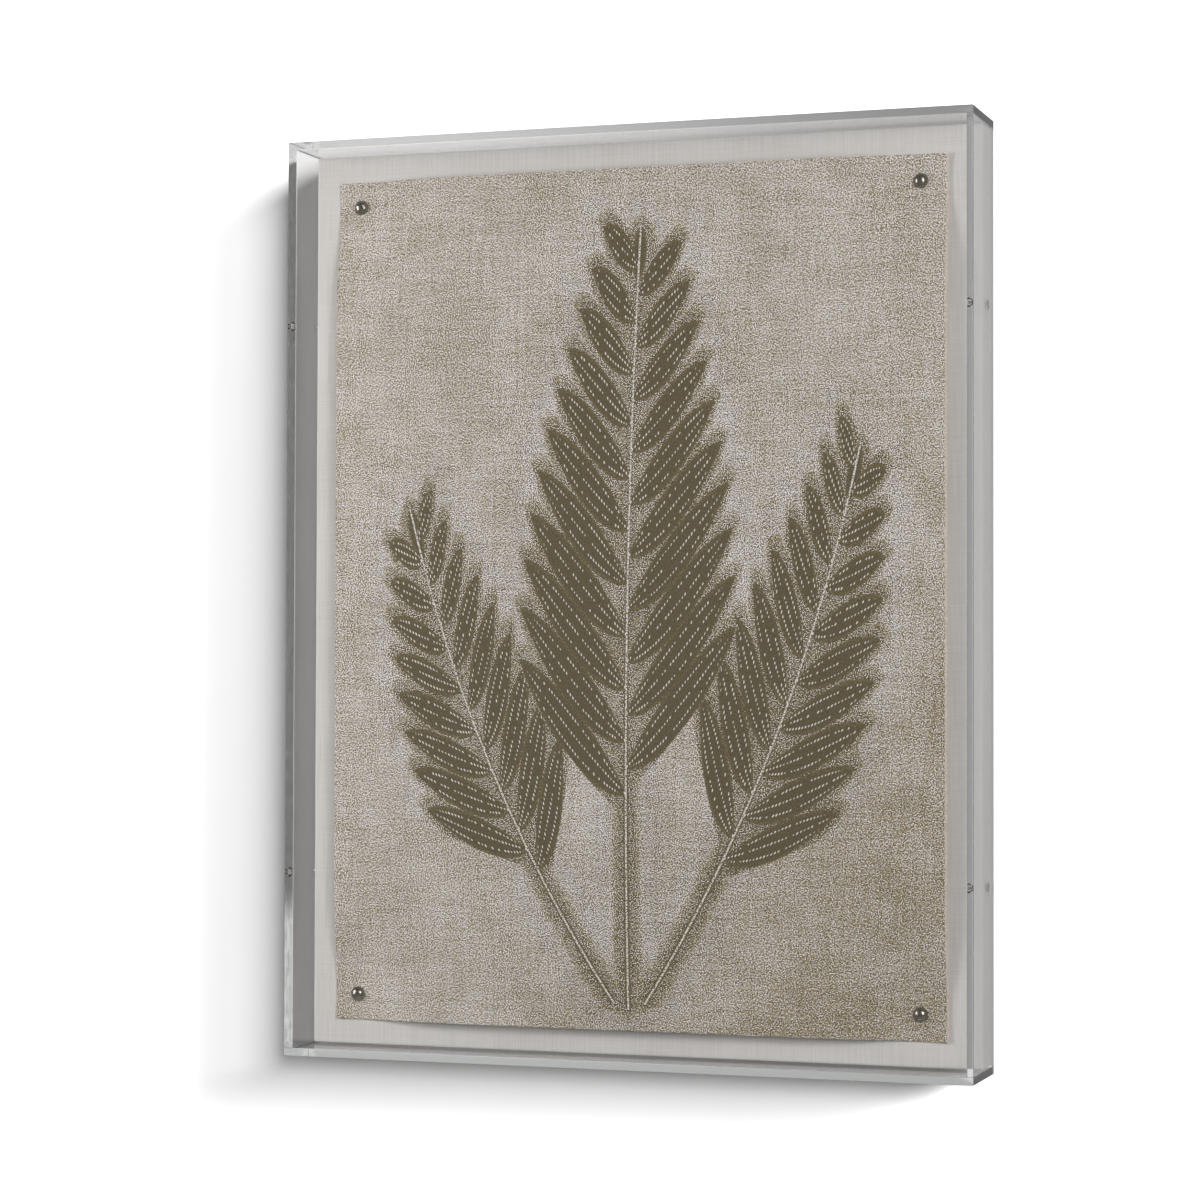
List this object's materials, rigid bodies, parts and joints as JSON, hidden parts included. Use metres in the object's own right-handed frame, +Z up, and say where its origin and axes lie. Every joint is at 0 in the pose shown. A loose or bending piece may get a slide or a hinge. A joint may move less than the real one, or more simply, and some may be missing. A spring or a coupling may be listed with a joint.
{
  "type": "acrylic shadow box frame with botanical print",
  "caption": "Clear acrylic box frame for a wall: a botanical print on heavy paper, pinned at its corners to a linen-wrapped panel inside.",
  "frame": {"origin": "centre of the back, on the plane of the wall that the frame hangs on", "axes": "+Z up, +Y from the front into the wall, +X to the right seen from the front"},
  "size_m": [0.6228, 0.0845, 0.813],
  "materials": {
    "acrylic": "clear polished acrylic",
    "linen": "plain woven off-white linen",
    "paper": "matt paper with an olive and grey stippled print",
    "hardboard": "brown hardboard",
    "pine": "planed pine, unfinished",
    "pin_metal": "polished dark nickel",
    "screw_metal": "bright zinc-plated steel"
  },
  "bodies": {
    "root": {"front_pane": "acrylic", "top_wall": "acrylic", "bottom_wall": "acrylic", "left_wall": "acrylic", "right_wall": "acrylic", "linen_wrap": "linen", "backing_board": "hardboard", "left_strainer_bar": "pine", "right_strainer_bar": "pine", "top_strainer_bar": "pine", "bottom_strainer_bar": "pine", "cross_bar": "pine", "print_sheet": "paper", "pin_top_left": "pin_metal", "pin_top_right": "pin_metal", "pin_bottom_left": "pin_metal", "pin_bottom_right": "pin_metal", "screw_left_upper": "screw_metal", "screw_left_lower": "screw_metal", "screw_right_upper": "screw_metal", "screw_right_lower": "screw_metal"}
  },
  "joints": []
}
